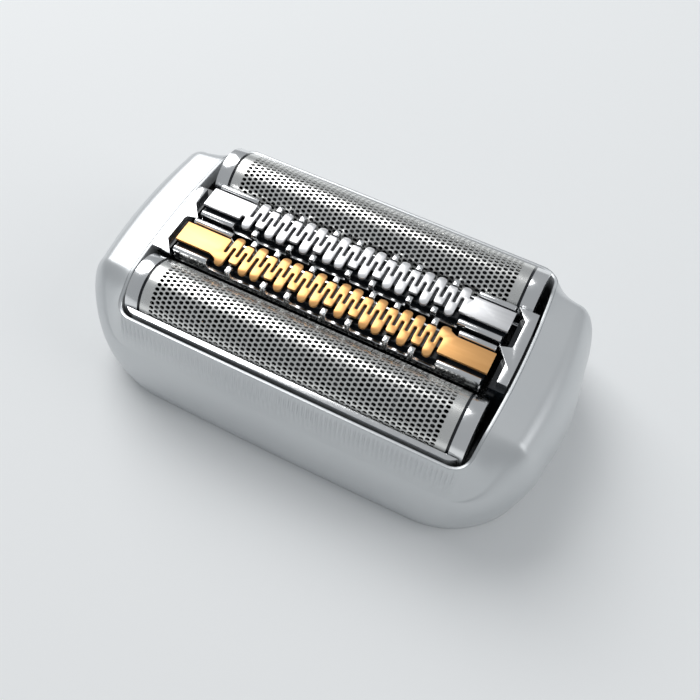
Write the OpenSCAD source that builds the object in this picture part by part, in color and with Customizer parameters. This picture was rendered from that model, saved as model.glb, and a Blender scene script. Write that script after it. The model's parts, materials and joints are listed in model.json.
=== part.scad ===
// Replacement cutting head of a foil shaver: a satin housing that carries two arched foils,
// two comb trimmers and the inner blades that the shaver's drive pins move.
// Origin: middle of the base rim. X along the foils, -Y to the ribbed front, Z up.

/* [Housing] */
// Height from the base rim to the top plane of the trimmers
head_height = 21; // [20:0.5:24]
// Length of the opening in the housing, at the middle of its ends
opening_length = 53.7; // [52:0.1:58]
// How far the ends of the housing reach past the opening
end_reach = 9.2; // [8:0.1:10.5]
// How far the long walls of the housing bulge past the opening
side_reach = 2.7; // [2.4:0.1:3.6]
// Width of the flat band on top of each end
band_width = 4.2; // [3.5:0.1:5]
// Width of the thin bright lip round the opening
lip_width = 0.5; // [0.4:0.05:0.7]
// Drop of the lip from the trimmers' plane, at the ends
lip_drop_end = 1.7; // [1.4:0.1:2.2]
// Drop of the lip from the trimmers' plane, along the long sides
lip_drop_side = 4.1; // [3.6:0.1:4.6]
// Drop of the crease that ends the front facet
crease_drop = 10.6; // [9.5:0.1:12]
// Number of ribs on each long wall, under the lip
rib_count = 75; // [55:1:80]
// How far the ribs stand out at their upper ends
rib_height = 0.2; // [0.1:0.01:0.25]
// Wall thickness of the housing at its base
shell_wall = 1.8; // [1.4:0.1:2.2]
// Thickness of the housing's top band
band_thick = 2.1; // [1.6:0.1:2.4]

/* [Foils] */
// Outer radius of the arched foil
foil_radius = 4.8; // [4.6:0.05:5]
// Thickness of the foil sheet
foil_thick = 0.15; // [0.1:0.01:0.2]
// Height of the foil's crown over the trimmers' plane
foil_proud = 0.1; // [0:0.05:0.3]
// Height of the straight skirt under the foil's arch
foil_skirt = 3; // [2.5:0.1:3.4]
// Width of the unpierced band at each end of the foil
foil_band = 1.7; // [1.5:0.1:3]
// Number of windows along the foil
window_columns = 18; // [10:1:20]
// Number of windows round the arch
window_rows = 5; // [3:1:6]
// Width of the bars between windows
window_bar = 0.7; // [0.5:0.05:1]

/* [Foil frames] */
// Gap between the foil frame's end and the opening's end
frame_end_gap = 1.65; // [1.3:0.05:2]
// Thickness of the arched end of the foil frame
arch_width = 1.95; // [1.5:0.05:2.1]
// Thickness of the rail along the outer side of the foil
outer_rail = 0.7; // [0.5:0.05:0.8]
// Thickness of the rail along the inner side of the foil
inner_rail = 0.35; // [0.25:0.05:0.4]
// Drop of the outer rail's top from the trimmers' plane
outer_rail_drop = 3.5; // [3.2:0.1:4]
// Drop of the inner rail's top from the trimmers' plane
inner_rail_drop = 4.3; // [4:0.1:5]
// Depth of the foil frame, down from the trimmers' plane
frame_depth = 8.5; // [8.2:0.1:9]
// Free travel of the foil units, down into the head
foil_travel = 1.2; // [0.6:0.1:1.2]

/* [Inner cutters] */
// Number of blades in a cutter block
blade_count = 16; // [10:1:20]
// Thickness of each blade
blade_thick = 0.3; // [0.2:0.05:0.4]
// Radius of the core that the blades sit on
core_radius = 3.2; // [3:0.1:3.4]
// Running gap between the blades and the foil
blade_gap = 0.15; // [0.1:0.01:0.25]
// Stroke of the cutters each way from the middle
stroke = 1; // [0.5:0.1:1]

/* [Trimmers] */
// Width of the trimmer's comb plate
comb_width = 3.4; // [3.2:0.05:3.6]
// Thickness of the comb plate
comb_thick = 0.4; // [0.3:0.05:0.5]
// Distance between neighbouring teeth of the comb
tooth_pitch = 1.848; // [1.8:0.001:1.9]
// Number of teeth on each side of the comb
tooth_count = 18; // [14:1:19]
// Width of the slots between teeth
slot_width = 0.48; // [0.4:0.01:0.55]
// How far each slot reaches past the comb's middle line
slot_reach = 0.64; // [0.5:0.01:0.75]
// Reach of the long teeth from the comb's middle line
long_tooth = 2.77; // [2.6:0.01:2.9]
// Reach of the short teeth from the comb's middle line
short_tooth = 1.85; // [1.8:0.01:2]
// Width of the block under the comb
block_width = 4.2; // [3.8:0.1:4.6]
// Gap between the comb's end and the opening's end
comb_end_gap = 3.35; // [3:0.05:4]
// Free travel of the trimmer units, down into the head
trimmer_travel = 1; // [0.5:0.1:1]

/* [Guard rails] */
// Distance from the comb's middle line to the guard rail
guard_offset = 2.76; // [2.7:0.01:2.9]
// Width of the half-round rods at the ends of a guard rail
rod_width = 1; // [0.8:0.05:1.1]
// Length of the rods, measured from the end of the comb
rod_length = 6.2; // [5:0.1:6.6]
// Drop of the rods and pins from the trimmers' plane
rod_drop = 0.3; // [0.2:0.05:0.5]
// Width of the pins that stand beside the short teeth
pin_width = 0.8; // [0.6:0.05:0.9]
// Drop of the low bar that carries the pins
bar_drop = 2; // [1.8:0.1:2.2]

/* [Fits] */
// Gap between the inner frame and the housing
fit_gap = 0.3; // [0.25:0.05:0.4]
// Gap between the two trimmer units
unit_gap = 0.74; // [0.6:0.02:1]
// Gap between a trimmer's block and the foil frame beside it
block_gap = 0.72; // [0.5:0.02:1]
// Gap between a foil frame and the housing's long wall
frame_side_gap = 0.4; // [0.3:0.05:0.5]
// Gap between the foil and the arched ends of its frame
foil_end_gap = 0.4; // [0.3:0.05:0.5]
// Running gap between parts that move past each other
run_gap = 0.3; // [0.25:0.05:0.35]

/* [Hidden] */
$fn = 48;

// A small overlap that lets two bodies of one solid fuse
fuse = 0.05;
// Far enough to cut right through
far = 80;

// Colours of the sub-parts
satin = [0.70, 0.72, 0.73];
black = [0.06, 0.07, 0.09];
chrome = [0.85, 0.86, 0.87];
foil_tint = [0.80, 0.80, 0.78];
steel = [0.72, 0.73, 0.74];
silver = [0.88, 0.88, 0.89];
gold = [0.96, 0.66, 0.35];

function height(drop) = head_height - drop;
function ease(u) = u <= 0 ? 0 : u >= 1 ? 1 : u * u * (3 - 2 * u);
function mix(from, to, u) = from + (to - from) * u;

// Places that follow from the driving sizes
half_opening = opening_length / 2;
foil_axis_drop = foil_radius - foil_proud;
frame_half = half_opening - frame_end_gap;
foil_half = frame_half - arch_width - foil_end_gap;
comb_half = half_opening - comb_end_gap;
trimmer_y = unit_gap / 2 + rod_width / 2 + guard_offset;
foil_y = trimmer_y + block_width / 2 + block_gap + inner_rail + foil_radius;
half_depth = foil_y + foil_radius + outer_rail + frame_side_gap;
floor_drop = frame_depth + foil_travel + 3.3;
floor_thick = 1.2;

// The housing is skinned over rings. Each ring is a rounded rectangle with bowed sides,
// high at the ends of the head and lower along its long sides.
end_steps = 4;
corner_steps = 6;
side_steps = 6;
quarter = end_steps + corner_steps + side_steps;
ring_size = 4 * quarter;
// The stretch at each side of the middle where the ends stay level
level_half = half_depth - 6;
opening_end_bow = 0.75;
opening_side_bow = 0.05;
opening_corner = 2.4;

// Point m of a quarter outline, from the middle of an end to the middle of a long side
function quarter_point(m, a, b, r, end_bow, side_bow) =
  let (cx = a - end_bow - r, cy = b - side_bow - r)
  m <= end_steps
    ? let (t = m / end_steps) [a - end_bow * t * t, cy * t]
    : m <= end_steps + corner_steps
      ? let (t = 90 * (m - end_steps) / corner_steps) [cx + r * cos(t), cy + r * sin(t)]
      : let (t = (quarter - m) / side_steps) [cx * t, b - side_bow * t * t];

function outline(a, b, r, end_bow, side_bow) = [
  for (k = [0:ring_size - 1])
    let (q = floor(k / quarter), m = k % quarter)
    let (p = quarter_point(q % 2 == 0 ? m : quarter - m, a, b, r, end_bow, side_bow))
    [q == 1 || q == 2 ? -p.x : p.x, q >= 2 ? -p.y : p.y]
];

function ring(a, b, r, end_bow, side_bow, end_drop, side_drop) = [
  for (p = outline(a, b, r, end_bow, side_bow))
    [p.x, p.y, height(end_drop + (side_drop - end_drop)
      * ease((abs(p.y) - level_half) / (b - side_bow - level_half)))]
];

module skin(rings) {
  n = ring_size;
  count = len(rings);
  points = [for (r = rings) for (p = r) p];
  faces = [
    for (i = [0:count - 1]) for (k = [0:n - 1])
      let (j = (i + 1) % count, l = (k + 1) % n)
      for (f = [[i * n + k, i * n + l, j * n + k], [i * n + l, j * n + l, j * n + k]]) f
  ];
  polyhedron(points, faces, convexity = 10);
}

// Housing: a lip, a band that turns down into the ribbed facets, a round shoulder and the base
crease_end_drop = 2;
crease_half = half_opening + band_width;
crease_depth_half = half_depth + side_reach - 1;
crease_corner = 6;
widest_half = half_opening + end_reach;
deepest_half = half_depth + side_reach;
widest_corner = 13.5;
widest_end_drop = 15;
widest_side_drop = 18;
base_inset = 0.8;
shell_end_bow = 0.8;
shell_side_bow = 0.2;
shoulder_steps = 5;
pocket_half = crease_half - 1.2;
pocket_depth_half = half_depth + 0.3;
pocket_corner = 3.5;
pocket_side_drop = 8.5;
lip_under_drop = lip_drop_end + band_thick;
lip_under_side_drop = lip_drop_side + band_thick;

// Half of the opening's outline, grown outwards
function lip_ring(grow, end_drop, side_drop) =
  ring(half_opening + grow, half_depth + grow, opening_corner + grow,
    opening_end_bow, opening_side_bow, end_drop, side_drop);

// The band between the lip (u = 0) and the crease (u = 1)
function band_ring(u) =
  ring(mix(half_opening + lip_width, crease_half, u),
    mix(half_depth + lip_width, crease_depth_half, u),
    mix(opening_corner + lip_width, crease_corner, u), shell_end_bow,
    mix(opening_side_bow, shell_side_bow, u), mix(lip_drop_end, crease_end_drop, u),
    mix(lip_drop_side, crease_drop, u));

// The shoulder from the crease (u = 0) to the widest level (u = 1), moved inwards by inset
function shoulder_ring(u, inset) =
  let (out = sin(90 * u), down = 1 - cos(90 * u))
  ring(mix(crease_half, widest_half, out) - inset * out,
    mix(crease_depth_half, deepest_half, out * out) - inset,
    mix(crease_corner, widest_corner, u) - inset * u, shell_end_bow, shell_side_bow,
    mix(crease_end_drop, widest_end_drop, down) + inset * (1 - down),
    mix(crease_drop, widest_side_drop, down));

function base_ring(inset) =
  ring(widest_half - base_inset - inset, deepest_half - base_inset / 2 - inset,
    widest_corner - inset, shell_end_bow, shell_side_bow, head_height, head_height);

module outer_shell() {
  color(satin) {
    skin([
      lip_ring(0, lip_drop_end, lip_drop_side),
      lip_ring(lip_width, lip_drop_end, lip_drop_side),
      band_ring(0.5),
      for (i = [0:shoulder_steps]) shoulder_ring(i / shoulder_steps, 0),
      base_ring(0),
      base_ring(shell_wall),
      shoulder_ring(1, shell_wall),
      shoulder_ring(0.75, shell_wall),
      shoulder_ring(0.5, shell_wall),
      ring(pocket_half, pocket_depth_half, pocket_corner, shell_end_bow, opening_side_bow,
        lip_under_drop, pocket_side_drop),
      lip_ring(0, lip_under_drop, lip_under_side_drop)
    ]);
    for (side = [-1, 1]) {
      rib_field(side);
      for (y = [-1, 1])
        end_pocket_rib(side, y);
    }
  }
}

// The field of fine ribs under the lip of each long wall: one comb-shaped section that runs
// down the facet and leans into it, so that the ribs fade out above the crease
rib_span = 51;
rib_start_drop = lip_drop_side + 0.4;
rib_end_drop = crease_drop - 0.8;
rib_root = 0.45;

module rib_field(side) {
  fall = crease_drop - lip_drop_side;
  lean = atan((crease_depth_half - half_depth - lip_width) / fall);
  start_y = half_depth + lip_width + (rib_start_drop - lip_drop_side) * tan(lean);
  sink = atan(rib_height / (rib_end_drop - rib_start_drop));
  rotate([0, 0, side > 0 ? 180 : 0])
    translate([0, -start_y, height(rib_start_drop)])
      rotate([sink - lean, 0, 0])
        translate([0, 0, rib_start_drop - rib_end_drop])
          linear_extrude(rib_end_drop - rib_start_drop)
            rib_section();
}

module rib_section() {
  pitch = rib_span / rib_count;
  polygon(concat(
    [[-rib_span / 2, rib_root]],
    [for (i = [0:rib_count - 1]) let (x = (i + 0.5) * pitch - rib_span / 2) each [
      [x - 0.3 * pitch, 0.1], [x - 0.14 * pitch, -rib_height], [x + 0.14 * pitch, -rib_height],
      [x + 0.3 * pitch, 0.1]
    ]],
    [[rib_span / 2, rib_root]]
  ));
}

// A moulded rib inside each end of the housing, with a nub under the inner frame's flange
flange_half_depth = 5.5;
flange_thick = 1.2;
flange_half = pocket_half - 0.5;
pocket_rib_thick = 1;
pocket_rib_y = 5;
pocket_rib_base_drop = 15;
pocket_rib_end = widest_half - shell_wall - 0.4;
nub_top_drop = lip_under_drop + flange_thick;
nub_reach = 0.6;
nub_height = 1;

module end_pocket_rib(side, y) {
  mirror([side < 0 ? 1 : 0, 0, 0])
    translate([0, y * pocket_rib_y - pocket_rib_thick / 2, 0]) {
      translate([flange_half, 0, height(pocket_rib_base_drop)])
        cube([pocket_rib_end - flange_half, pocket_rib_thick,
          pocket_rib_base_drop - nub_top_drop]);
      translate([flange_half - nub_reach, 0, height(nub_top_drop + nub_height)])
        cube([nub_reach + fuse, pocket_rib_thick, nub_height]);
    }
}

// Inner frame: a black tray in the opening, with end towers and windows for the drive pins
tray_wall = 0.8;
tray_top_drop = frame_depth + foil_travel + run_gap;
tray_base_drop = head_height - 2;
tower_half_depth = 6;
tower_top_drop = 1.9;
tower_inner = comb_half + 0.75;
divider_y = 6.3;
divider_thick = 0.6;
window_length = 9;
window_depth = 6;
trimmer_window = 8;
catch_length = 8;
catch_height = 2.4;

module tray_outline(inset) {
  polygon(outline(half_opening - inset, half_depth - inset, opening_corner - inset,
    opening_end_bow, opening_side_bow));
}

module inner_frame() {
  color(black)
    difference() {
      union() {
        translate([0, 0, height(tray_base_drop)])
          linear_extrude(tray_base_drop - tray_top_drop)
            tray_outline(fit_gap);
        for (side = [-1, 1]) {
          end_tower(side);
          end_flange(side);
        }
      }
      translate([0, 0, height(floor_drop)])
        linear_extrude(far)
          tray_inside();
      translate([0, 0, height(tray_base_drop) - 1])
        linear_extrude(tray_base_drop - floor_drop - floor_thick + 1)
          tray_outline(fit_gap + tray_wall);
      for (y = [-foil_y, foil_y])
        translate([-window_length / 2, y - window_depth / 2, height(floor_drop) - 5])
          cube([window_length, window_depth, 10]);
      translate([-trimmer_window / 2, -trimmer_window / 2, height(floor_drop) - 5])
        cube([trimmer_window, trimmer_window, 10]);
      for (side = [-1, 1])
        translate([side * half_opening - 3, -catch_length / 2, height(tray_base_drop) + 0.8])
          cube([6, catch_length, catch_height]);
    }
  color(black)
    translate([0, 0, height(floor_drop) - fuse])
      linear_extrude(floor_drop - tray_top_drop + fuse)
        for (side = [-1, 1])
          divider_outline(side);
}

// A low wall along each foil, from one end of the tray to the other
module divider_outline(side) {
  intersection() {
    tray_outline(fit_gap);
    translate([-half_opening, side * divider_y - divider_thick / 2])
      square([2 * half_opening, divider_thick]);
  }
}

// What the tray's hollow takes out: all inside the walls, apart from the end towers
module tray_inside() {
  difference() {
    tray_outline(fit_gap + tray_wall);
    for (side = [-1, 1])
      translate([side > 0 ? tower_inner : -far - tower_inner, -tower_half_depth])
        square([far, 2 * tower_half_depth]);
  }
}

module end_tower(side) {
  translate([0, 0, height(tray_top_drop) - fuse])
    linear_extrude(tray_top_drop - tower_top_drop + fuse)
      intersection() {
        tray_outline(fit_gap);
        translate([side > 0 ? tower_inner : -far - tower_inner, -tower_half_depth])
          square([far, 2 * tower_half_depth]);
      }
}

module end_flange(side) {
  translate([side > 0 ? tower_inner : -flange_half, -flange_half_depth, height(nub_top_drop)])
    cube([flange_half - tower_inner, 2 * flange_half_depth, flange_thick]);
}

// End bracket: a bright plate on each end tower, notched round the ends of the two trimmers
bracket_thick = 0.9;
bracket_top_drop = tower_top_drop - bracket_thick;
bracket_inset = 0.35;
notch_edge = comb_half + 1.5;
bracket_tip = comb_half - 0.1;
bracket_end = 7.2;
bracket_start = 5.25;

module bracket_shape() {
  difference() {
    intersection() {
      tray_outline(bracket_inset);
      translate([-half_opening, -bracket_end])
        square([half_opening - bracket_tip, bracket_end + bracket_start]);
    }
    polygon([
      [-notch_edge, bracket_start + 1], [-notch_edge, 2.1],
      [-bracket_tip - 0.05, 0.1], [0, 0.1], [0, bracket_start + 1]
    ]);
    polygon([
      [-bracket_tip - 0.05, -0.1], [-notch_edge + 0.6, -0.4], [-notch_edge + 0.15, -0.55],
      [-notch_edge, -1], [-notch_edge, -5.2], [-bracket_tip - 0.05, -bracket_end],
      [0, -bracket_end], [0, -0.1]
    ]);
  }
}

module end_bracket(turn) {
  color(chrome)
    rotate([0, 0, turn])
      translate([0, 0, height(tower_top_drop)])
        linear_extrude(bracket_thick)
          bracket_shape();
}

// Foil frame: two arched ends joined by a thick outer and a thin inner rail
arch_radius = foil_radius + 0.05;
foot_step = 0.8;
slot_recess = 0.35;

module arch_section(radius, bottom_drop) {
  low = foil_axis_drop - bottom_drop;
  intersection() {
    circle(radius);
    translate([-radius, low])
      square([2 * radius, radius - low]);
  }
  translate([-radius, low])
    square([2 * radius, -low]);
}

// Draws a section in Y and Z, about the foil's axis, and runs it along X
module along_x(from, to) {
  translate([from, 0, height(foil_axis_drop)])
    rotate([90, 0, 90])
      linear_extrude(to - from)
        children();
}

// The frame as it lies at the front, with its outer side towards -Y
frame_outer_y = -foil_radius - outer_rail;
frame_corner = opening_corner - frame_side_gap;

module foil_frame_part() {
  difference() {
    for (side = [-1, 1])
      along_x(side > 0 ? frame_half - arch_width : -frame_half,
        side > 0 ? frame_half : arch_width - frame_half)
        arch_section(arch_radius, frame_depth);
    for (side = [-1, 1])
      arch_slot(side);
  }
  intersection() {
    union() {
      for (side = [-1, 1])
        translate([side > 0 ? frame_half - arch_width : -frame_half, frame_outer_y,
          height(frame_depth)])
          cube([arch_width, outer_rail + 0.4, frame_depth - outer_rail_drop - foot_step]);
      translate([-frame_half, frame_outer_y, height(frame_depth)])
        cube([2 * frame_half, outer_rail, frame_depth - outer_rail_drop]);
      translate([-frame_half, foil_radius, height(frame_depth)])
        cube([2 * frame_half, inner_rail, frame_depth - inner_rail_drop]);
    }
    linear_extrude(far)
      frame_plan();
  }
}

// The frame's outline from above, with its outer corners rounded like those of the opening
module frame_plan() {
  straight = frame_half - frame_corner;
  for (side = [-1, 1])
    translate([side * straight, frame_outer_y + frame_corner])
      circle(frame_corner);
  translate([-straight, frame_outer_y])
    square([2 * straight, 2 * foil_radius + outer_rail + inner_rail]);
  translate([-frame_half, frame_outer_y + frame_corner])
    square([2 * frame_half, 2 * foil_radius + outer_rail + inner_rail - frame_corner]);
}

// The latch recess low on the outer face of an arched end
module arch_slot(side) {
  for (turn = [-12, 4])
    translate([side * (frame_half - arch_width / 2), 0, height(foil_axis_drop)])
      rotate([turn, 0, 0])
        translate([-0.5, -arch_radius - 1, -0.25])
          cube([1, 1 + slot_recess, 0.5]);
}

module at_foil(side) {
  mirror([0, side > 0 ? 1 : 0, 0])
    translate([0, -foil_y, 0])
      children();
}

module foil_frame(side) {
  color(chrome)
    at_foil(side)
      foil_frame_part();
}

// Foil holder: a black cradle inside the foil's ends and skirts
holder_radius = foil_radius - foil_thick;
holder_wall = 0.45;
holder_arch = 0.6;
holder_top_drop = foil_axis_drop + 1.9;

module foil_holder(side) {
  color(black)
    at_foil(side) {
      for (end = [-1, 1])
        along_x(end > 0 ? foil_half - holder_arch + foil_end_gap : -foil_half - foil_end_gap,
          end > 0 ? foil_half + foil_end_gap : holder_arch - foil_half - foil_end_gap)
          difference() {
            arch_section(holder_radius, foil_axis_drop + foil_skirt);
            arch_section(holder_radius - holder_wall, foil_axis_drop + foil_skirt + 1);
          }
      for (y = [-1, 1])
        along_x(-foil_half, foil_half)
          translate([y > 0 ? holder_radius - holder_wall : -holder_radius, -foil_skirt])
            square([holder_wall, foil_axis_drop + foil_skirt - holder_top_drop]);
    }
}

// Foil: a thin arched sheet, pierced by a grid of windows with the rows half a step apart
window_span = 2 * (foil_half - foil_band);
window_step = window_span / window_columns;
window_turn = 150 / window_rows;

module foil_windows() {
  bar_turn = window_bar / foil_radius * 180 / PI;
  for (row = [0:window_rows - 1])
    for (column = [0:window_columns - 1 - row % 2])
      translate([-window_span / 2 + (column + 0.5 + (row % 2) / 2) * window_step, 0, 0])
        rotate([(row - (window_rows - 1) / 2) * window_turn, 0, 0])
          window_cutter(window_step - window_bar, window_turn - bar_turn);
}

// A wedge from the foil's axis outwards, so that each window has radial sides
module window_cutter(length, turn) {
  reach = foil_radius + 1;
  rotate([90, 0, 90])
    linear_extrude(length, center = true)
      polygon([
        [0, 1], [reach * sin(turn / 2), reach * cos(turn / 2)],
        [-reach * sin(turn / 2), reach * cos(turn / 2)]
      ]);
}

module foil(side) {
  color(foil_tint)
    at_foil(side)
      difference() {
        along_x(-foil_half, foil_half)
          difference() {
            arch_section(foil_radius, foil_axis_drop + foil_skirt);
            arch_section(holder_radius, foil_axis_drop + foil_skirt + 1);
          }
        translate([0, 0, height(foil_axis_drop)])
          foil_windows();
      }
}

// Inner cutter: a black core with a row of arched blades pressed on
cutter_half = foil_half - holder_arch - stroke - 0.7;
cutter_radius = holder_radius - blade_gap;
blade_leg = 0.8;
cutter_foot = core_radius + 0.5;
cutter_base_drop = floor_drop - foil_travel - run_gap;
cutter_foot_top_drop = foil_axis_drop + foil_skirt - 0.5;
socket_length = 3;
socket_depth = 2.4;
socket_height = 3;

module cutter_carrier(side) {
  color(black)
    at_foil(side)
      difference() {
        union() {
          along_x(-cutter_half, cutter_half)
            arch_section(core_radius, cutter_base_drop);
          translate([-cutter_half, -cutter_foot, height(cutter_base_drop)])
            cube([2 * cutter_half, 2 * cutter_foot, cutter_base_drop - cutter_foot_top_drop]);
        }
        translate([-socket_length / 2, -socket_depth / 2, height(cutter_base_drop) - 1])
          cube([socket_length, socket_depth, socket_height + 1]);
      }
}

module blade_section() {
  steps = 9;
  difference() {
    polygon(concat(
      [for (i = [0:steps]) cutter_radius * [cos(180 * i / steps), sin(180 * i / steps)]],
      [[-cutter_radius, -blade_leg], [cutter_radius, -blade_leg]]
    ));
    arch_section(core_radius, foil_axis_drop + blade_leg + 1);
  }
}

module cutter_blades(side) {
  pitch = (2 * cutter_half - 1) / (blade_count - 1);
  color(steel)
    at_foil(side)
      for (i = [0:blade_count - 1])
        along_x(-cutter_half + 0.5 + i * pitch - blade_thick / 2,
          -cutter_half + 0.5 + i * pitch + blade_thick / 2)
          blade_section();
}

// Trimmer comb: one plate with slots cut in turn from both sides, so that a winding ribbon is
// left between them. The same edge, turned half round, makes the other side.
first_slot = -(tooth_count - 0.5) / 2 * tooth_pitch;
tooth_half = (tooth_pitch - slot_width) / 2;
tip_half = tooth_half - 0.08;
plate_half = comb_width / 2;

function is_short(j) = j % 5 == 1 || j % 5 == 4;

function tip_points(x, reach, half, drop) = [
  [x - half, -reach + drop], [x - 0.72 * half, -reach + 0.3 * drop], [x - 0.25 * half, -reach],
  [x + 0.25 * half, -reach], [x + 0.72 * half, -reach + 0.3 * drop], [x + half, -reach + drop]
];

function tooth_edge(j) =
  let (x = first_slot + j * tooth_pitch, s = slot_width / 2)
  let (reach = is_short(j) ? short_tooth : long_tooth)
  concat(
    j == 0 ? [] : [[x - tooth_half, -0.8]],
    tip_points(x, reach, tip_half, is_short(j) ? 0.25 : 0.6),
    [[x + tooth_half, -0.8]],
    [for (p = [[-s, slot_reach - s], [-s / 2, slot_reach], [s / 2, slot_reach],
      [s, slot_reach - s]]) [x + tooth_pitch / 2 + p.x, p.y]]
  );

// The lower edge from the left plate to the right one; shoulder is the form beside tooth 0
function lower_edge(shoulder) = concat(
  [[-comb_half, -plate_half]],
  shoulder,
  [for (j = [0:tooth_count - 1]) each tooth_edge(j)],
  [[-first_slot + slot_width / 2, -plate_half], [comb_half, -plate_half]]
);

gold_shoulder = [
  [first_slot - 1.7, -plate_half], [first_slot - 1.1, -plate_half - 0.25],
  [first_slot - tip_half, -plate_half - 0.55]
];
silver_shoulder = [
  [first_slot - 1.35, -plate_half], [first_slot - 1.35, -1.2], [first_slot - 1.2, -0.95],
  [first_slot - 0.9, -0.95], [first_slot - 0.75, -1.2], [first_slot - tip_half, -plate_half]
];

module comb_plate(shoulder) {
  edge = lower_edge(shoulder);
  linear_extrude(comb_thick)
    polygon(concat(edge, [for (p = edge) -p]));
}

module trimmer_comb(y, shoulder, tint) {
  color(tint)
    translate([0, y, height(comb_thick)])
      comb_plate(shoulder);
}

// Moving trimmer blade: a toothed strip that slides under the comb, with a lug for the drive
strip_gap = 0.06;
strip_thick = 0.35;
strip_half = plate_half - 0.05;
strip_spine = 0.75;
strip_pitch = 2.4;
strip_tooth = 1.2;
strip_count = 13;
strip_run = strip_count * strip_pitch / 2 + 1;
lug_length = 3.4;
lug_depth = 2.2;
lug_slot = 1.2;

module trimmer_blade(y) {
  x0 = -(strip_count - 1) * strip_pitch / 2;
  top = comb_thick + strip_gap;
  color(steel)
    translate([0, y, 0]) {
      translate([0, 0, height(top + strip_thick)])
        linear_extrude(strip_thick)
          polygon(concat(
            [[-strip_run, -strip_spine]],
            [for (i = [0:strip_count - 1]) each [
              [x0 + i * strip_pitch - strip_tooth / 2, -strip_spine],
              [x0 + i * strip_pitch - strip_tooth / 2 + 0.2, -strip_half],
              [x0 + i * strip_pitch + strip_tooth / 2 - 0.2, -strip_half],
              [x0 + i * strip_pitch + strip_tooth / 2, -strip_spine]
            ]],
            [[strip_run, -strip_spine], [strip_run, strip_spine]],
            [for (i = [strip_count - 1:-1:0]) each [
              [x0 + i * strip_pitch + strip_tooth / 2, strip_spine],
              [x0 + i * strip_pitch + strip_tooth / 2 - 0.2, strip_half],
              [x0 + i * strip_pitch - strip_tooth / 2 + 0.2, strip_half],
              [x0 + i * strip_pitch - strip_tooth / 2, strip_spine]
            ]],
            [[-strip_run, strip_spine]]
          ));
      difference() {
        translate([-lug_length / 2, -lug_depth / 2, height(lug_base_drop)])
          cube([lug_length, lug_depth, lug_base_drop - top - strip_thick + fuse]);
        translate([-lug_slot / 2, -lug_depth, height(lug_base_drop) - 1])
          cube([lug_slot, 2 * lug_depth, 3.5]);
      }
    }
}

// Trimmer carrier: the black block under a comb, with a channel for the moving blade
carrier_half = comb_half - 0.2;
bar_width = 0.5;
carrier_neck = guard_offset - bar_width / 2;
carrier_base_drop = floor_drop - trimmer_travel - 2.5;
channel_drop = comb_thick + strip_gap + strip_thick + run_gap;
lug_base_drop = carrier_base_drop + 1;
carrier_land = strip_run + stroke + run_gap;
bar_height = 1;

module trimmer_carrier(y) {
  top = comb_thick;
  color(black)
    translate([0, y, 0])
      difference() {
        union() {
          translate([-carrier_half, -block_width / 2, height(carrier_base_drop)])
            cube([2 * carrier_half, block_width, carrier_base_drop - top - 0.5]);
          translate([-carrier_half, -plate_half + 0.1, height(top + 0.5) - fuse])
            cube([2 * carrier_half, 2 * plate_half - 0.2, 0.5 + fuse]);
          translate([-carrier_half, -carrier_neck, height(bar_drop + bar_height)])
            cube([2 * carrier_half, 2 * carrier_neck, bar_height]);
        }
        translate([-carrier_land, -far / 2, height(channel_drop)])
          cube([2 * carrier_land, far, channel_drop + 1]);
        translate([-lug_length / 2 - stroke - run_gap, -lug_depth / 2 - run_gap,
          height(carrier_base_drop) - 1])
          cube([lug_length + 2 * stroke + 2 * run_gap, lug_depth + 2 * run_gap, far]);
      }
}

// Guard rail: half-round rods beside the plates, then a low bar with pins beside short teeth

module guard_rail(y, side) {
  color(chrome)
    translate([0, y, 0])
      rotate([0, 0, side > 0 ? 180 : 0])
        guard_rail_part();
}

// The rail beside the lower edge of a comb, with the comb's middle line at y = 0
module guard_rail_part() {
  y = -guard_offset;
  translate([-carrier_half, y - bar_width / 2, height(bar_drop + bar_height)])
    cube([2 * carrier_half, bar_width, bar_height]);
  for (j = [0:tooth_count - 1])
    if (is_short(j))
      translate([first_slot + j * tooth_pitch - pin_width / 2, y - rod_width / 2,
        height(bar_drop)])
        cube([pin_width, rod_width, bar_drop - rod_drop]);
  guard_rod(-comb_half + 0.4, rod_length - 0.9);
  guard_rod(comb_half - 0.35 - rod_length, rod_length);
}

module guard_rod(x, length) {
  r = rod_width / 2;
  translate([x, -guard_offset, height(rod_drop + r)])
    rotate([90, 0, 90])
      linear_extrude(length)
        union() {
          intersection() {
            circle(r, $fn = 16);
            translate([-r, 0])
              square([2 * r, r]);
          }
          translate([-r, -0.5])
            square([2 * r, 0.5 + fuse / 2]);
          translate([-bar_width / 2, rod_drop + r - bar_drop - 0.5])
            square([bar_width, bar_drop - rod_drop - r + 0.3]);
        }
}

// Springs: a wire coil under each end of a foil frame, a bent leaf under each trimmer carrier
spring_radius = 1;
spring_inset = 0.35;
leaf_thick = 0.2;
leaf_width = 1.6;
leaf_offset = (block_width - leaf_width) / 2;
leaf_half = comb_half - 3.5;
leaf_bend = leaf_half - 3;
leaf_foot = leaf_half - 10;
wire = 0.3;
spring_turns = 4;
spring_steps = 8;

module coil(bottom, top) {
  n = spring_turns * spring_steps;
  sides = 4;
  rise = (top - bottom - wire) / n;
  points = [
    for (i = [0:n]) for (s = [0:sides - 1])
      let (t = 360 * i / spring_steps, u = 360 * s / sides + 45)
      let (r = spring_radius + wire / sqrt(2) * cos(u))
      [r * cos(t), r * sin(t), bottom + wire / 2 + i * rise + wire / sqrt(2) * sin(u)]
  ];
  faces = concat(
    [[for (s = [sides - 1:-1:0]) s]],
    [for (i = [0:n - 1]) for (s = [0:sides - 1])
      let (a = i * sides + s, b = i * sides + (s + 1) % sides)
      for (f = [[a, b, a + sides], [b, b + sides, a + sides]]) f],
    [[for (s = [0:sides - 1]) n * sides + s]]
  );
  polyhedron(points, faces, convexity = 4);
}

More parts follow.
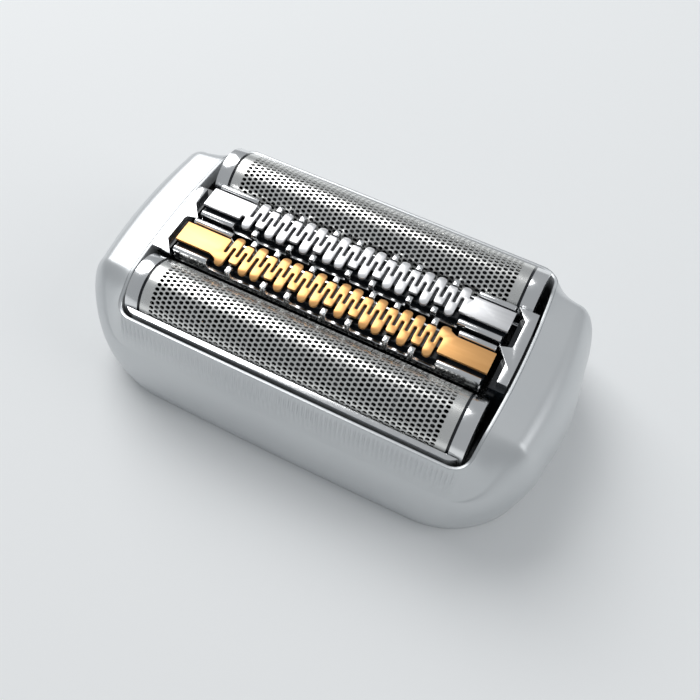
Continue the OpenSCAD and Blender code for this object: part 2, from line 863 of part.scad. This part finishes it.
module foil_spring(side, end) {
  color(steel)
    translate([end * (frame_half - arch_width / 2 - spring_inset), side * foil_y, 0])
      coil(height(floor_drop), height(frame_depth));
}

// Half of the leaf's outline, from the middle of its foot up to its seat under the block
function leaf_side(rise) = [
  [leaf_foot, leaf_thick], [leaf_bend, rise], [leaf_half, rise], [leaf_half, rise - leaf_thick],
  [leaf_bend + leaf_thick / 2, rise - leaf_thick], [leaf_foot + leaf_thick / 2, 0]
];

module trimmer_spring(y) {
  side = leaf_side(floor_drop - carrier_base_drop);
  color(steel)
    translate([0, y + sign(y) * leaf_offset + leaf_width / 2, height(floor_drop)])
      rotate([90, 0, 0])
        linear_extrude(leaf_width)
          polygon(concat(side, [for (i = [5:-1:0]) [-side[i].x, side[i].y]]));
}

outer_shell();
inner_frame();
end_bracket(0);  // end_bracket_left
end_bracket(180);  // end_bracket_right
foil_frame(-1);  // foil_frame_front
foil_frame(1);  // foil_frame_rear
foil_holder(-1);  // foil_holder_front
foil_holder(1);  // foil_holder_rear
foil(-1);  // foil_front
foil(1);  // foil_rear
cutter_carrier(-1);  // cutter_carrier_front
cutter_carrier(1);  // cutter_carrier_rear
cutter_blades(-1);  // cutter_blades_front
cutter_blades(1);  // cutter_blades_rear
trimmer_comb(trimmer_y, silver_shoulder, silver);  // trimmer_comb_silver
trimmer_comb(-trimmer_y, gold_shoulder, gold);  // trimmer_comb_gold
trimmer_carrier(trimmer_y);  // trimmer_carrier_silver
trimmer_carrier(-trimmer_y);  // trimmer_carrier_gold
trimmer_blade(trimmer_y);  // trimmer_blade_silver
trimmer_blade(-trimmer_y);  // trimmer_blade_gold
guard_rail(trimmer_y, 1);  // guard_rail_silver_outer
guard_rail(trimmer_y, -1);  // guard_rail_silver_inner
guard_rail(-trimmer_y, 1);  // guard_rail_gold_inner
guard_rail(-trimmer_y, -1);  // guard_rail_gold_outer
foil_spring(-1, -1);  // foil_spring_front_left
foil_spring(-1, 1);  // foil_spring_front_right
foil_spring(1, -1);  // foil_spring_rear_left
foil_spring(1, 1);  // foil_spring_rear_right
trimmer_spring(trimmer_y);  // trimmer_spring_silver
trimmer_spring(-trimmer_y);  // trimmer_spring_gold
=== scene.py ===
"""Looks of a foil shaver's cutting head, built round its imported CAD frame.

Sizes are in millimetres, as in the part's source, and MM turns them into metres.
A drop is a depth below the top plane of the trimmers. +X runs along the foils, -Y is the
ribbed front and Z points out of the cutting face.
"""
import json
import math

import bmesh
import bpy
import numpy as np
from mathutils import Matrix, Vector


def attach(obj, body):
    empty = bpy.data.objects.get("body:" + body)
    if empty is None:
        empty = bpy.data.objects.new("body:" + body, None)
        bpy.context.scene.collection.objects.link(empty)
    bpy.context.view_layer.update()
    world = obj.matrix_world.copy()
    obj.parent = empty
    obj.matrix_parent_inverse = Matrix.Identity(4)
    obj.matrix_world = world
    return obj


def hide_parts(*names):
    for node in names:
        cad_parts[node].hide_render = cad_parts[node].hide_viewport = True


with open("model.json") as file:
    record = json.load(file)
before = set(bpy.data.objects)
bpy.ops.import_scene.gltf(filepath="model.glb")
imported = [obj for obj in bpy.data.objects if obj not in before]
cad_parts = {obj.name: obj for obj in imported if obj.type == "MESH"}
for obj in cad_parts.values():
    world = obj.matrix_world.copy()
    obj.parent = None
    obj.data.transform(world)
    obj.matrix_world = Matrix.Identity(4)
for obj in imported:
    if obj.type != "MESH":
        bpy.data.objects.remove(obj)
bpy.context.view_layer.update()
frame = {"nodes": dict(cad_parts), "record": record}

MM = 0.001
HEAD_HEIGHT = 21.0

# Housing
HALF_OPENING = 26.85
HALF_DEPTH = 17.5
OPENING_CORNER = 2.4
OPENING_END_BOW = 0.75
OPENING_SIDE_BOW = 0.05
LIP_WIDTH = 0.5
LIP_DROPS = (1.7, 4.1)
CREASE_HALF = (31.05, 19.2)
CREASE_CORNER = 6.0
CREASE_DROPS = (2.0, 10.6)
WIDEST_HALF = (36.05, 20.2)
WIDEST_CORNER = 13.5
WIDEST_DROPS = (15.0, 18.0)
SHELL_BOWS = (0.8, 0.2)
LEVEL_HALF = 11.5
BASE_INSET = 0.8
SHELL_WALL = 1.8
BAND_THICK = 2.1
RIB_COUNT = 75
RIB_SPAN = 51.0
RIB_HEIGHT = 0.17

# Foils and their frames
FOIL_Y = 11.6
FOIL_RADIUS = 4.8
FOIL_THICK = 0.15
FOIL_AXIS_DROP = 4.7
FOIL_HALF = 22.85
FOIL_SKIRT = 3.0
HOLE_PITCH_X = 0.794
HOLE_PITCH_ARC = 0.68
HOLE_LENGTH = 0.60
HOLE_WIDTH = 0.42

# Trimmers
TRIMMER_Y = 3.63
COMB_HALF = 23.5
COMB_WIDTH = 3.4
COMB_THICK = 0.4
TOOTH_PITCH = 1.848
TOOTH_COUNT = 18
SLOT_WIDTH = 0.48
SLOT_REACH = 0.64
LONG_TOOTH = 2.77
SHORT_TOOTH = 1.85


def height(drop):
    return HEAD_HEIGHT - drop


def mix(a, b, u):
    return a + (b - a) * u


def ease(u):
    u = np.clip(u, 0, 1)
    return u * u * (3 - 2 * u)


# Materials


class Look:
    """A node material that is put together step by step."""

    def __init__(self, name, **inputs):
        self.material = bpy.data.materials.new(name)
        self.material.use_nodes = True
        self.tree = self.material.node_tree
        self.shader = self.tree.nodes["Principled BSDF"]
        self.place = self.node("ShaderNodeTexCoord").outputs["Object"]
        for key, value in inputs.items():
            socket = self.shader.inputs[key.replace("_", " ")]
            socket.default_value = (*value, 1) if isinstance(value, tuple) else value

    def node(self, kind, **settings):
        n = self.tree.nodes.new(kind)
        for key, value in settings.items():
            setattr(n, key, value)
        return n

    def link(self, out, into):
        self.tree.links.new(out, into)

    def noise(self, scale, detail=4, stretch=(1, 1, 1)):
        """A noise whose grains are about 1/scale metres long, longer along a small stretch."""
        mapping = self.node("ShaderNodeMapping")
        mapping.inputs["Scale"].default_value = stretch
        self.link(self.place, mapping.inputs["Vector"])
        noise = self.node("ShaderNodeTexNoise")
        noise.inputs["Scale"].default_value = scale
        noise.inputs["Detail"].default_value = detail
        self.link(mapping.outputs["Vector"], noise.inputs["Vector"])
        return noise.outputs["Fac"]

    def ramp(self, value, low, high, *colors):
        ramp = self.node("ShaderNodeValToRGB")
        ramp.color_ramp.elements[0].position = low
        ramp.color_ramp.elements[1].position = high
        for element, color in zip(ramp.color_ramp.elements, colors):
            element.color = (*color, 1)
        self.link(value, ramp.inputs["Fac"])
        return ramp.outputs["Color"]

    def tint(self, value, low, high, dark, pale):
        self.link(self.ramp(value, low, high, dark, pale), self.shader.inputs["Base Color"])
        return self

    def gloss(self, value, smooth, rough):
        span = self.node("ShaderNodeMapRange")
        span.inputs["To Min"].default_value = smooth
        span.inputs["To Max"].default_value = rough
        self.link(value, span.inputs["Value"])
        self.link(span.outputs["Result"], self.shader.inputs["Roughness"])
        return self

    def bump(self, value, strength, distance):
        bump = self.node("ShaderNodeBump")
        bump.inputs["Strength"].default_value = strength
        bump.inputs["Distance"].default_value = distance * MM
        self.link(value, bump.inputs["Height"])
        self.link(bump.outputs["Normal"], self.shader.inputs["Normal"])
        return self


def satin_silver():
    look = Look("satin_silver", Metallic=0.55, Coat_Weight=0.25, Coat_Roughness=0.3)
    flakes = look.noise(9000, 2)
    look.tint(look.noise(60, 3), 0.3, 0.7, (0.60, 0.62, 0.635), (0.64, 0.66, 0.67))
    look.gloss(flakes, 0.3, 0.42)
    look.bump(flakes, 0.15, 0.01)
    return look.material


def black_plastic():
    look = Look("black_plastic", Specular_IOR_Level=0.5)
    look.tint(look.noise(300), 0.35, 0.65, (0.004, 0.006, 0.009), (0.012, 0.015, 0.019))
    look.gloss(look.noise(2500), 0.16, 0.3)
    look.bump(look.noise(5000, 2), 0.1, 0.01)
    return look.material


def chrome():
    look = Look("bright_chrome", Metallic=1.0)
    look.tint(look.noise(150), 0.3, 0.7, (0.80, 0.81, 0.82), (0.88, 0.885, 0.89))
    look.gloss(look.noise(1800, 3), 0.12, 0.24)
    return look.material


def foil_steel():
    look = Look("foil_steel", Metallic=1.0)
    look.tint(look.noise(120, 4, (0.4, 1, 1)), 0.3, 0.7, (0.78, 0.78, 0.76), (0.88, 0.88, 0.86))
    look.gloss(look.noise(900, 3), 0.2, 0.34)
    return look.material


# The cutter blades are bright steel; their base colour is painted shade, darkened so that they stay
# black under the foil's holes.
def shade_darkened_steel():
    look = Look("blade_steel", Metallic=1.0)
    grain = look.noise(2500, 3, (1, 0.1, 1))
    # Painted shade: these near-black tones stand in for the shade inside the head, with the grain
    # varying them a little.
    look.tint(grain, 0.3, 0.7, (0.05, 0.052, 0.056), (0.11, 0.112, 0.116))
    look.gloss(grain, 0.35, 0.5)
    return look.material


def silver_steel():
    look = Look("silver_steel", Metallic=0.9)
    grain = look.noise(1500, 3, (0.08, 1, 1))
    look.tint(grain, 0.3, 0.7, (0.84, 0.84, 0.85), (0.91, 0.91, 0.92))
    look.gloss(grain, 0.3, 0.42)
    look.bump(grain, 0.1, 0.01)
    return look.material


def gold_coating():
    look = Look("gold_coating", Metallic=0.9)
    grain = look.noise(1500, 3, (0.08, 1, 1))
    look.tint(grain, 0.3, 0.7, (0.90, 0.47, 0.17), (0.97, 0.53, 0.21))
    look.gloss(grain, 0.3, 0.42)
    look.bump(grain, 0.1, 0.01)
    return look.material


def spring_steel():
    look = Look("spring_steel", Metallic=1.0)
    look.tint(look.noise(800), 0.3, 0.7, (0.5, 0.5, 0.52), (0.66, 0.66, 0.68))
    look.gloss(look.noise(3000), 0.25, 0.4)
    return look.material


LOOKS = {
    "satin_silver": satin_silver(),
    "black_plastic": black_plastic(),
    "bright_chrome": chrome(),
    "foil_steel": foil_steel(),
    "blade_steel": shade_darkened_steel(),
    "silver_steel": silver_steel(),
    "gold_coating": gold_coating(),
    "spring_steel": spring_steel(),
}

# Pieces


def settle(obj, slot, body, nodes=(), angle=35):
    """Shades a finished piece, gives it its finish and hands it to the frame."""
    obj.data.materials.clear()
    obj.data.materials.append(LOOKS[slot])
    obj.data.shade_smooth()
    obj.data.set_sharp_from_angle(angle=math.radians(angle))
    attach(obj, body)
    if nodes:
        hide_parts(*nodes)
    return obj


def new_object(name, points, faces):
    mesh = bpy.data.meshes.new(name)
    mesh.from_pydata((np.asarray(points, float) * MM).tolist(), [], faces)
    mesh.update()
    obj = bpy.data.objects.new(name, mesh)
    bpy.context.scene.collection.objects.link(obj)
    return obj


def outward(obj):
    """Turns all faces of a closed piece outwards."""
    bm = bmesh.new()
    bm.from_mesh(obj.data)
    bmesh.ops.recalc_face_normals(bm, faces=bm.faces)
    bm.to_mesh(obj.data)
    bm.free()
    return obj


SLOT_OF = {s["node"]: s["material_slot"] for s in frame["record"]["subparts"]}
BODY_OF = {n: b for b, ns in frame["record"]["behaviour"]["bodies"].items() for n in ns}


def softened(node, width, segments=2, angle=32):
    """A copy of a CAD node with its edges rounded, which stands for the node."""
    bm = bmesh.new()
    bm.from_mesh(frame["nodes"][node].data)
    bmesh.ops.remove_doubles(bm, verts=bm.verts, dist=2e-6)
    bmesh.ops.dissolve_limit(
        bm, angle_limit=math.radians(1), verts=bm.verts, edges=bm.edges)
    edges = [e for e in bm.edges
             if len(e.link_faces) == 2 and e.calc_face_angle(0) > math.radians(angle)]
    bmesh.ops.bevel(bm, geom=edges, offset=width * MM, segments=segments,
                    profile=0.5, affect="EDGES", clamp_overlap=True)
    mesh = bpy.data.meshes.new(node + "_soft")
    bm.to_mesh(mesh)
    bm.free()
    obj = bpy.data.objects.new(node + "_soft", mesh)
    bpy.context.scene.collection.objects.link(obj)
    return settle(obj, SLOT_OF[node], BODY_OF[node], [node])


# Housing: rings of points, each a rounded rectangle with bowed sides. The points along the
# long sides keep the same X from ring to ring, so that the ribs run straight down.

RIB_STEPS = 6
RIM_POINTS = 44
SIDE_HALF = 25.8
SIDE_X = np.linspace(-SIDE_HALF, SIDE_HALF, int(RIB_COUNT * RIB_STEPS * SIDE_HALF * 2 / RIB_SPAN))


def side_y(x, a, b, r, bows):
    """The outline's Y at places x of its long side, straight part and corner alike."""
    cx, cy = a - bows[0] - r, b - bows[1] - r
    x = np.abs(x)
    straight = b - bows[1] * (x / cx) ** 2
    bend = cy + np.sqrt(np.maximum(r * r - np.maximum(x - cx, 0) ** 2, 0))
    return np.where(x <= cx, straight, bend)


def quarter_rim(a, b, r, bows):
    """Points from the side's last X round the corner to the middle of the end."""
    cx, cy = a - bows[0] - r, b - bows[1] - r
    start = math.acos(min(max((SIDE_HALF - cx) / r, 0), 1))
    path = []
    if cx > SIDE_HALF:
        path = [(x, b - bows[1] * (x / cx) ** 2) for x in np.linspace(SIDE_HALF, cx, 6)[:-1]]
    path += [(cx + r * math.cos(t), cy + r * math.sin(t)) for t in np.linspace(start, 0, 60)]
    path += [(a - bows[0] * t * t, cy * t) for t in np.linspace(1, 0, 40)[1:]]
    path = np.array(path)
    run = np.concatenate([[0], np.cumsum(np.hypot(*np.diff(path, axis=0).T))])
    wanted = np.linspace(0, run[-1], RIM_POINTS + 1)[1:]
    return np.column_stack([np.interp(wanted, run, path[:, i]) for i in (0, 1)])


def ring(a, b, r, bows, drops):
    """One ring of the housing, seen from above: rear side, left end, front side, right end."""
    rear = np.column_stack([SIDE_X[::-1], side_y(SIDE_X, a, b, r, bows)[::-1]])
    rim = quarter_rim(a, b, r, bows)
    left = np.concatenate([rim * (-1, 1), rim[-2::-1] * (-1, -1)])
    front = -rear
    right = -left
    points = np.concatenate([rear, left, front, right])
    slope = ease((np.abs(points[:, 1]) - LEVEL_HALF) / (b - bows[1] - LEVEL_HALF))
    return np.column_stack([points, height(mix(drops[0], drops[1], slope))])


def lip_ring(grow, lower):
    return ring(HALF_OPENING + grow, HALF_DEPTH + grow, OPENING_CORNER + grow,
                (OPENING_END_BOW, OPENING_SIDE_BOW),
                (LIP_DROPS[0] + lower, LIP_DROPS[1] + lower))


def band_ring(u, sink=0.0):
    """The band from the lip (u = 0) to the crease (u = 1)."""
    return ring(mix(HALF_OPENING + LIP_WIDTH, CREASE_HALF[0], u),
                mix(HALF_DEPTH + LIP_WIDTH, CREASE_HALF[1], u),
                mix(OPENING_CORNER + LIP_WIDTH, CREASE_CORNER, u),
                (SHELL_BOWS[0], mix(OPENING_SIDE_BOW, SHELL_BOWS[1], u)),
                (mix(LIP_DROPS[0], CREASE_DROPS[0], u) + sink,
                 mix(LIP_DROPS[1], CREASE_DROPS[1], u) + sink))


def shoulder_ring(u, inset=0.0):
    """The shoulder from the crease (u = 0) to the widest level (u = 1)."""
    out, down = math.sin(math.pi / 2 * u), 1 - math.cos(math.pi / 2 * u)
    return ring(mix(CREASE_HALF[0], WIDEST_HALF[0], out) - inset * out,
                mix(CREASE_HALF[1], WIDEST_HALF[1], out * out) - inset,
                mix(CREASE_CORNER, WIDEST_CORNER, u) - inset * u, SHELL_BOWS,
                (mix(CREASE_DROPS[0], WIDEST_DROPS[0], down) + inset * (1 - down),
                 mix(CREASE_DROPS[1], WIDEST_DROPS[1], down)))


def base_ring(inset, lift):
    return ring(WIDEST_HALF[0] - BASE_INSET - inset, WIDEST_HALF[1] - BASE_INSET / 2 - inset,
                WIDEST_CORNER - inset, SHELL_BOWS, (HEAD_HEIGHT - lift, HEAD_HEIGHT - lift))


def rib_wave(x):
    """0 in the grooves and 1 on the ribs, with soft flanks."""
    pitch = RIB_SPAN / RIB_COUNT
    wave = 0.5 + 0.5 * np.cos(2 * np.pi * (x / pitch - 0.5 * (RIB_COUNT % 2 == 0)))
    inside = ease((RIB_SPAN / 2 - np.abs(x)) / 0.4)
    return ease(wave * 1.3 - 0.1) * inside


def ribbed(u):
    """A ring of the band with the ribs standing out of its long sides."""
    points = band_ring(u)
    fade = ease((u - 0.03) / 0.07) * (1 - ease((u - 0.35) / 0.6))
    reach = RIB_HEIGHT * fade * rib_wave(points[:, 0])
    on_side = ease((np.abs(points[:, 1]) - side_y(points[:, 0], *side_shape(u)) + 0.3) / 0.2)
    points[:, 1] += np.sign(points[:, 1]) * reach * on_side
    return points


def side_shape(u):
    return (mix(HALF_OPENING + LIP_WIDTH, CREASE_HALF[0], u),
            mix(HALF_DEPTH + LIP_WIDTH, CREASE_HALF[1], u),
            mix(OPENING_CORNER + LIP_WIDTH, CREASE_CORNER, u),
            (SHELL_BOWS[0], mix(OPENING_SIDE_BOW, SHELL_BOWS[1], u)))


def housing():
    edge = 0.1
    rings = [lip_ring(0, edge), lip_ring(0.3 * edge, 0.3 * edge), lip_ring(edge, 0),
             lip_ring(LIP_WIDTH - edge, 0), lip_ring(LIP_WIDTH - 0.02, edge)]
    rings += [ribbed(u) for u in np.linspace(0, 1, 19)[:-1]]
    rings += [shoulder_ring(u) for u in np.linspace(0, 1, 17)]
    rings += [base_ring(0, 0.35), base_ring(0.1, 0.1), base_ring(0.35, 0)]
    rings += [base_ring(SHELL_WALL, 0)]
    rings += [shoulder_ring(u, SHELL_WALL) for u in (1, 0.75, 0.5)]
    rings += [ring(CREASE_HALF[0] - 1.2, HALF_DEPTH + 0.3, 3.5,
                   (SHELL_BOWS[0], OPENING_SIDE_BOW), (LIP_DROPS[0] + BAND_THICK, 8.5)),
              lip_ring(0, BAND_THICK)]
    count, size = len(rings), len(rings[0])
    faces = [(i * size + k, i * size + (k + 1) % size,
              (i + 1) % count * size + (k + 1) % size, (i + 1) % count * size + k)
             for i in range(count) for k in range(size)]
    obj = outward(new_object("housing_skin", np.concatenate(rings), faces))
    return settle(obj, "satin_silver", "housing", ["outer_shell"], angle=40)


# Foils: a thin sheet with staggered holes, bent over an arch. U runs along X and V round it.


def hole_outline(steps):
    """A long hexagon with rounded corners, as wide and long as 1."""
    points = []
    for k in range(steps):
        t = 2 * math.pi * k / steps
        c, s = math.cos(t), math.sin(t)
        points.append((abs(c) ** 0.9 * math.copysign(0.5, c), abs(s) ** 0.75 * math.copysign(0.5, s)))
    return points


def bend(u, v, depth, side):
    """Places a point of the flat sheet on the foil: v = 0 is the crown, +v the outer side."""
    quarter = FOIL_RADIUS * math.pi / 2
    radius = FOIL_RADIUS - depth
    turn = max(-quarter, min(quarter, v)) / FOIL_RADIUS
    y = radius * math.sin(turn)
    z = radius * math.cos(turn) - max(0, abs(v) - quarter)
    return (u, side * (FOIL_Y + y), height(FOIL_AXIS_DROP) + z)


class Sheet:
    """Collects the points and faces of a foil, and shares the points that repeat."""

    def __init__(self, side):
        self.side = side
        self.points, self.faces, self.known = [], [], {}

    def at(self, u, v, depth):
        key = (round(u, 4), round(v, 4), depth)
        if key not in self.known:
            self.known[key] = len(self.points)
            self.points.append(bend(u, v, depth, self.side))
        return self.known[key]

    def plain(self, corners):
        """A face on the outside and one on the inside."""
        self.faces.append([self.at(u, v, 0) for u, v in corners])
        self.faces.append([self.at(u, v, FOIL_THICK) for u, v in reversed(corners)])

    def edge(self, a, b):
        self.faces.append([self.at(*a, 0), self.at(*a, FOIL_THICK),
                           self.at(*b, FOIL_THICK), self.at(*b, 0)])

    def pierced(self, u, v, hole):
        """A cell round one hole: six points outside, a wide and a narrow rim inside."""
        hu, hv = HOLE_PITCH_X / 2, HOLE_PITCH_ARC / 2
        rim = [(u + hu, v), (u + hu, v + hv), (u - hu, v + hv),
               (u - hu, v), (u - hu, v - hv), (u + hu, v - hv)]
        wide = [(u + x * HOLE_LENGTH * 1.1, v + y * HOLE_WIDTH * 1.16) for x, y in hole]
        narrow = [(u + x * HOLE_LENGTH, v + y * HOLE_WIDTH) for x, y in hole]
        n = len(hole)
        starts = [0, n // 8 + 1, n // 2 - n // 8 - 1, n // 2, n // 2 + n // 8 + 1, n - n // 8 - 1]
        for ring_points, depth in ((wide, 0), (narrow, FOIL_THICK)):
            for i in range(6):
                first, last = starts[i], starts[(i + 1) % 6] or n
                fan = [rim[i]] + [ring_points[k % n] for k in range(first, last + 1)]
                fan = fan[:1] + fan[:0:-1] if False else fan
                corners = [rim[(i + 1) % 6], rim[i]] + [ring_points[k % n]
                                                       for k in range(first, last + 1)]
                ids = [self.at(a, b, depth) for a, b in corners]
                self.faces.append(ids if depth else ids[::-1])
        for k in range(n):
            l = (k + 1) % n
            self.faces.append([self.at(*wide[k], 0), self.at(*wide[l], 0),
                               self.at(*narrow[l], FOIL_THICK), self.at(*narrow[k], FOIL_THICK)])


def foil(name, side, body):
    sheet = Sheet(side)
    hole = hole_outline(12)
    columns, rows = 54, 20
    low = -(rows / 2 + 0.25) * HOLE_PITCH_ARC
    high = low + (rows + 0.5) * HOLE_PITCH_ARC
    edge_u = columns / 2 * HOLE_PITCH_X
    half = HOLE_PITCH_ARC / 2
    for c in range(columns):
        u = (c + 0.5) * HOLE_PITCH_X - edge_u
        hu = HOLE_PITCH_X / 2
        shift = half * (c % 2)
        for r in range(rows):
            sheet.pierced(u, low + (r + 0.5) * HOLE_PITCH_ARC + shift, hole)
        fill = high - half if not shift else low
        sheet.plain([(u - hu, fill), (u + hu, fill), (u + hu, fill + half), (u - hu, fill + half)])
    skirt = FOIL_RADIUS * math.pi / 2 + FOIL_SKIRT
    levels = [low + i * half for i in range(2 * rows + 2)]
    below = list(np.linspace(-skirt, low, 9)[:-1])
    above = list(np.linspace(high, skirt, 9)[1:])
    stations = [c * HOLE_PITCH_X - edge_u for c in range(columns + 1)]
    for v_list in (below + [low], [high] + above):
        for v0, v1 in zip(v_list, v_list[1:]):
            for u0, u1 in zip(stations, stations[1:]):
                sheet.plain([(u0, v0), (u1, v0), (u1, v1), (u0, v1)])
    all_v = below + levels + above
    band = [FOIL_HALF - (FOIL_HALF - edge_u) * t for t in (0, 0.25, 0.5, 0.75, 1)]
    for v0, v1 in zip(all_v, all_v[1:]):
        for u0, u1 in zip(band, band[1:]):
            sheet.plain([(u1, v0), (u0, v0), (u0, v1), (u1, v1)])
            sheet.plain([(-u0, v0), (-u1, v0), (-u1, v1), (-u0, v1)])
        sheet.edge((FOIL_HALF, v0), (FOIL_HALF, v1))
        sheet.edge((-FOIL_HALF, v1), (-FOIL_HALF, v0))
    all_u = [-u for u in band] + stations[1:-1] + band[::-1]
    for u0, u1 in zip(all_u, all_u[1:]):
        sheet.edge((u0, -skirt), (u1, -skirt))
        sheet.edge((u1, skirt), (u0, skirt))
    obj = outward(new_object(name, sheet.points, sheet.faces))
    return settle(obj, "foil_steel", body, [name.replace("_sheet", "")], angle=38)


# Combs: the plate's outline as filleted corners, the same edge turned half round for the
# other side, then cut across so that the tooth tips can droop.


def fillet(corners, steps=5):
    """Rounds each (x, y, radius) corner of an open line with an arc-like curve."""
    points = []
    for i, (x, y, r) in enumerate(corners):
        here = Vector((x, y))
        if r <= 0 or i in (0, len(corners) - 1):
            points.append(here)
            continue
        before = Vector(corners[i - 1][:2]) - here
        after = Vector(corners[i + 1][:2]) - here
        a = here + before.normalized() * min(r, before.length * 0.49)
        b = here + after.normalized() * min(r, after.length * 0.49)
        for k in range(steps + 1):
            t = k / steps
            w = 2 * t * (1 - t) * 0.8
            weight = (1 - t) ** 2 + w + t * t
            points.append((a * (1 - t) ** 2 + here * w + b * t * t) / weight)
    return points


def comb_edge(shoulder):
    first = -(TOOTH_COUNT - 0.5) / 2 * TOOTH_PITCH
    half = (TOOTH_PITCH - SLOT_WIDTH) / 2
    plate = COMB_WIDTH / 2
    corners = [(-COMB_HALF, -plate, 0)] + [(first + x, y, r) for x, y, r in shoulder]
    for j in range(TOOTH_COUNT):
        x = first + j * TOOTH_PITCH
        reach = SHORT_TOOTH if j % 5 in (1, 4) else LONG_TOOTH
        tip = 0.3 if reach == SHORT_TOOTH else 0.62
        root = [(x - half, -0.8, 0.3)] if j else []
        corners += root + [
            (x - half + 0.05, -reach, tip), (x + half - 0.05, -reach, tip),
            (x + half, -0.8, 0.3)]
        slot = x + TOOTH_PITCH / 2
        corners += [(slot - SLOT_WIDTH / 2, SLOT_REACH, 0.2), (slot + SLOT_WIDTH / 2, SLOT_REACH, 0.2)]
    corners += [(-first + SLOT_WIDTH / 2, -plate, 0.2), (COMB_HALF, -plate, 0)]
    return fillet(corners)


def comb(name, y, shoulder, slot, body):
    edge = comb_edge(shoulder)
    outline = edge + [-p for p in edge]
    bm = bmesh.new()
    top = height(0)
    face = bm.faces.new([bm.verts.new((p.x * MM, p.y * MM, top * MM)) for p in outline])
    bm.normal_update()
    if face.normal.z < 0:
        face.normal_flip()
    made = bmesh.ops.extrude_face_region(bm, geom=[face])
    lower = [v for v in made["geom"] if isinstance(v, bmesh.types.BMVert)]
    bmesh.ops.translate(bm, vec=(0, 0, -COMB_THICK * MM), verts=lower)
    bmesh.ops.recalc_face_normals(bm, faces=bm.faces)
    rim = [e for e in bm.edges if all(v.co.z > (top - 0.01) * MM for v in e.verts)
           and len(e.link_faces) == 2 and e.calc_face_angle(0) > 0.8]
    bmesh.ops.bevel(bm, geom=rim, offset=0.09 * MM, segments=3, profile=0.5,
                    affect="EDGES", clamp_overlap=True)
    for level in (1.75, 2.0, 2.2, 2.4, 2.6):
        for sign in (-1, 1):
            bmesh.ops.bisect_plane(bm, geom=bm.verts[:] + bm.edges[:] + bm.faces[:],
                                   plane_co=(0, sign * level * MM, 0), plane_no=(0, 1, 0))
    bmesh.ops.triangulate(bm, faces=bm.faces)
    for v in bm.verts:
        over = max(0, abs(v.co.y) / MM - 1.65)
        v.co.z -= 0.25 * over * over * MM
        v.co.y += y * MM
    mesh = bpy.data.meshes.new(name)
    bm.to_mesh(mesh)
    bm.free()
    obj = bpy.data.objects.new(name, mesh)
    bpy.context.scene.collection.objects.link(obj)
    return settle(obj, slot, body, [name.replace("_plate", "")], angle=30)


GOLD_SHOULDER = [(-1.7, -1.7, 0.3), (-0.62, -2.25, 0.3)]
SILVER_SHOULDER = [(-1.35, -1.7, 0.2), (-1.35, -0.95, 0.2), (-0.75, -0.95, 0.2),
                   (-0.68, -1.7, 0.2)]


# Putting it together

housing()
foil("foil_front_sheet", -1, "front_foil_unit")
foil("foil_rear_sheet", 1, "rear_foil_unit")
comb("trimmer_comb_silver_plate", TRIMMER_Y, SILVER_SHOULDER, "silver_steel", "silver_trimmer_unit")
comb("trimmer_comb_gold_plate", -TRIMMER_Y, GOLD_SHOULDER, "gold_coating", "gold_trimmer_unit")
for node in ("end_bracket_left", "end_bracket_right"):
    softened(node, 0.12)
for node in ("foil_frame_front", "foil_frame_rear"):
    softened(node, 0.15, 3)
for node in SLOT_OF:
    if node.startswith("guard_rail"):
        softened(node, 0.07)
for node, obj in frame["nodes"].items():
    obj.data.materials.clear()
    obj.data.materials.append(LOOKS[SLOT_OF[node]])

# Stage, lights and camera


def floor_look():
    look = Look("floor_white", Roughness=0.85, Specular_IOR_Level=0.1)
    look.tint(look.noise(3, 2), 0.3, 0.7, (0.87, 0.885, 0.89), (0.90, 0.91, 0.912))
    return look.material


def floor():
    half = 2.0
    mesh = bpy.data.meshes.new("floor")
    mesh.from_pydata([(-half, -half, 0), (half, -half, 0), (half, half, 0), (-half, half, 0)],
                     [], [(0, 1, 2, 3)])
    obj = bpy.data.objects.new("floor", mesh)
    obj.data.materials.append(floor_look())
    bpy.context.scene.collection.objects.link(obj)


def softbox(name, place, size, power, target=(0, 0, 0.01)):
    data = bpy.data.lights.new(name, "AREA")
    data.shape = "RECTANGLE"
    data.size, data.size_y = size
    data.energy = power
    obj = bpy.data.objects.new(name, data)
    obj.location = place
    obj.rotation_euler = (Vector(target) - Vector(place)).to_track_quat("-Z", "Y").to_euler()
    bpy.context.scene.collection.objects.link(obj)


def sky():
    world = bpy.data.worlds.new("sky")
    bpy.context.scene.world = world
    world.use_nodes = True
    back = world.node_tree.nodes["Background"]
    back.inputs["Color"].default_value = (0.93, 0.965, 1, 1)
    back.inputs["Strength"].default_value = 0.4


def camera():
    """The photograph's viewpoint: turned about Z, tipped down and rolled a little."""
    turn, tip, roll = (math.radians(a) for a in (24.163, 57.740, 3.284))
    distance, focal_pixels, frame_pixels = 0.11182, 864.46, 700
    target = Vector((0.006409, -0.010399, 0.021))
    back = Vector((math.sin(turn) * math.cos(tip), -math.cos(turn) * math.cos(tip), math.sin(tip)))
    right = Vector((math.cos(turn), math.sin(turn), 0))
    up = back.cross(right)
    x_axis = right * math.cos(roll) + up * math.sin(roll)
    y_axis = up * math.cos(roll) - right * math.sin(roll)
    data = bpy.data.cameras.new("camera")
    data.sensor_width = 36
    data.lens = data.sensor_width * focal_pixels / frame_pixels
    data.clip_start = 0.005
    obj = bpy.data.objects.new("camera", data)
    obj.matrix_world = Matrix.Translation(target + back * distance) @ Matrix(
        (x_axis, y_axis, back)).transposed().to_4x4()
    bpy.context.scene.collection.objects.link(obj)
    bpy.context.scene.camera = obj


floor()
sky()
softbox("key", (-0.35, 0.25, 0.5), (0.45, 0.45), 2.6)
softbox("fill", (0.5, 0.1, 0.35), (0.3, 0.5), 0.6)
camera()
bpy.context.scene.view_settings.view_transform = "Standard"
